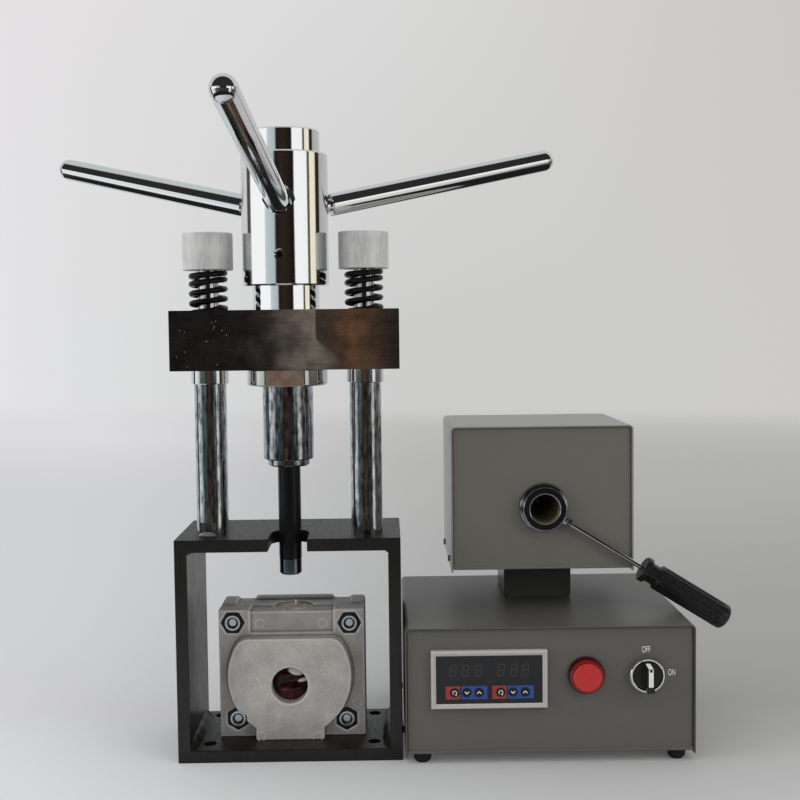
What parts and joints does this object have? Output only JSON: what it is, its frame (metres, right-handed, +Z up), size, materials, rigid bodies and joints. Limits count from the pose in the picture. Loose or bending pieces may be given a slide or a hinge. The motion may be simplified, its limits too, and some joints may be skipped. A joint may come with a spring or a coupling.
{
  "type": "denture injection molding machine",
  "caption": "Hand-turned screw press on two sprung columns over a clamped casting flask, with a bench furnace on a control box that heats the injection cylinder.",
  "frame": {"origin": "on the table, in the underside of the press's base plate, on the ram's axis", "axes": "+X to the right along the front, from the press to the heater; +Y away from the front; +Z up along the ram"},
  "size_m": [0.6072, 0.439, 0.5276],
  "materials": {
    "black_paint": "satin black enamel",
    "chrome": "polished chrome plate",
    "spring_steel": "black coated spring steel",
    "turned_aluminium": "turned, satin",
    "blued_steel": "ground and blued, oily brown-black",
    "turned_steel": "turned",
    "bronze": "machined",
    "black_oxide": "black oxide",
    "cast_aluminium": "die cast, tumbled",
    "zinc_plate": "bright zinc plate",
    "plaster": "set plaster, dry",
    "dark_red_wax": "glossy",
    "panel_paint": "dark warm grey, semi-gloss",
    "cover_paint": "mid grey, semi-gloss",
    "neck_paint": "dark grey, semi-gloss",
    "foot_rubber": "matt",
    "ceramic": "fired ceramic",
    "grip_plastic": "moulded, semi-gloss",
    "case_plastic": "moulded",
    "bezel_plastic": "moulded, light grey",
    "face_plastic": "printed film, glossy",
    "button_plastic": "moulded, with a white symbol",
    "lamp_ring_plastic": "moulded",
    "ring_metal": "bright plated",
    "lamp_lens": "clear red moulding",
    "knob_plastic": "moulded, white mark"
  },
  "bodies": {
    "stand": {"base_plate": "black_paint", "top_plate": "black_paint", "left_side_plate": "black_paint", "right_side_plate": "black_paint", "weld_beads": "black_paint", "left_column": "chrome", "right_column": "chrome", "left_collar": "chrome", "right_collar": "chrome", "left_spring": "spring_steel", "right_spring": "spring_steel", "left_cap_nut": "turned_aluminium", "right_cap_nut": "turned_aluminium", "furnace_tube": "turned_steel", "cover_screws": "zinc_plate", "control_tray": "panel_paint", "furnace_tray": "panel_paint", "control_cover": "cover_paint", "furnace_cover": "cover_paint", "furnace_neck": "neck_paint", "rubber_feet": "foot_rubber", "heating_jacket": "ceramic", "controller_case": "case_plastic", "power_inlet": "case_plastic", "controller_bezel": "bezel_plastic", "controller_face": "face_plastic", "selector_ring": "ring_metal", "pilot_lamp_ring": "lamp_ring_plastic", "pilot_lamp_lens": "lamp_lens"},
    "crosshead": {"crosshead": "blued_steel", "thrust_bearing": "turned_steel", "flange_nut": "blued_steel", "guide_tube": "turned_steel", "guide_end_ring": "turned_steel"},
    "hub": {"hub": "chrome", "hub_cap": "chrome", "hub_nut": "bronze", "hub_lock_screw": "black_oxide", "front_handle": "chrome", "left_handle": "chrome", "right_handle": "chrome"},
    "ram": {"ram_spindle": "black_oxide", "ram_tip": "chrome"},
    "flask": {"flask_front_half": "cast_aluminium", "flask_back_half": "cast_aluminium", "flask_bolts": "zinc_plate", "flask_nuts": "black_oxide", "flask_investment": "plaster", "flask_core_plug": "dark_red_wax"},
    "injection_cylinder": {"injection_cylinder": "chrome", "handle_rod": "turned_steel", "handle_rod_nut": "zinc_plate", "handle_grip": "grip_plastic"},
    "selector": {"selector_knob": "knob_plastic"},
    "temperature_set_button": {"temperature_set_button": "button_plastic"},
    "temperature_down_button": {"temperature_down_button": "button_plastic"},
    "temperature_up_button": {"temperature_up_button": "button_plastic"},
    "time_set_button": {"time_set_button": "button_plastic"},
    "time_down_button": {"time_down_button": "button_plastic"},
    "time_up_button": {"time_up_button": "button_plastic"}
  },
  "joints": [
    {"name": "crosshead_lift", "type": "slide", "parent": "stand", "child": "crosshead", "axis": [0, 0, 1], "range_m": [0, 0.008], "stiffness_N_per_m": 40000, "springref_m": -0.002, "deforming": ["left_spring", "right_spring"]},
    {"name": "hub_spin", "type": "hinge", "parent": "crosshead", "child": "hub", "pos_m": [0, 0, 0.45], "axis": [0, 0, 1], "range_deg": [-1430, 5390]},
    {"name": "ram_slide", "type": "slide", "parent": "crosshead", "child": "ram", "axis": [0, 0, 1], "range_m": [-0.02, 0.075]},
    {"name": "flask_slide", "type": "slide", "parent": "stand", "child": "flask", "axis": [0, -1, 0], "range_m": [0, 0.05]},
    {"name": "cylinder_slide", "type": "slide", "parent": "stand", "child": "injection_cylinder", "axis": [0, -1, 0], "range_m": [0, 0.11]},
    {"name": "selector_turn", "type": "hinge", "parent": "stand", "child": "selector", "pos_m": [0.2963, -0.044, 0.0732], "axis": [0, 1, 0], "range_deg": [0, 90]},
    {"name": "temperature_set_press", "type": "slide", "parent": "stand", "child": "temperature_set_button", "axis": [0, 1, 0], "range_m": [0, 0.0006], "stiffness_N_per_m": 300, "springref_m": -0.0005},
    {"name": "temperature_down_press", "type": "slide", "parent": "stand", "child": "temperature_down_button", "axis": [0, 1, 0], "range_m": [0, 0.0006], "stiffness_N_per_m": 300, "springref_m": -0.0005},
    {"name": "temperature_up_press", "type": "slide", "parent": "stand", "child": "temperature_up_button", "axis": [0, 1, 0], "range_m": [0, 0.0006], "stiffness_N_per_m": 300, "springref_m": -0.0005},
    {"name": "time_set_press", "type": "slide", "parent": "stand", "child": "time_set_button", "axis": [0, 1, 0], "range_m": [0, 0.0006], "stiffness_N_per_m": 300, "springref_m": -0.0005},
    {"name": "time_down_press", "type": "slide", "parent": "stand", "child": "time_down_button", "axis": [0, 1, 0], "range_m": [0, 0.0006], "stiffness_N_per_m": 300, "springref_m": -0.0005},
    {"name": "time_up_press", "type": "slide", "parent": "stand", "child": "time_up_button", "axis": [0, 1, 0], "range_m": [0, 0.0006], "stiffness_N_per_m": 300, "springref_m": -0.0005}
  ],
  "couplings": [
    {"joint": "ram_slide", "follows": "hub_spin", "m_per_rad": 0.00079577}
  ]
}
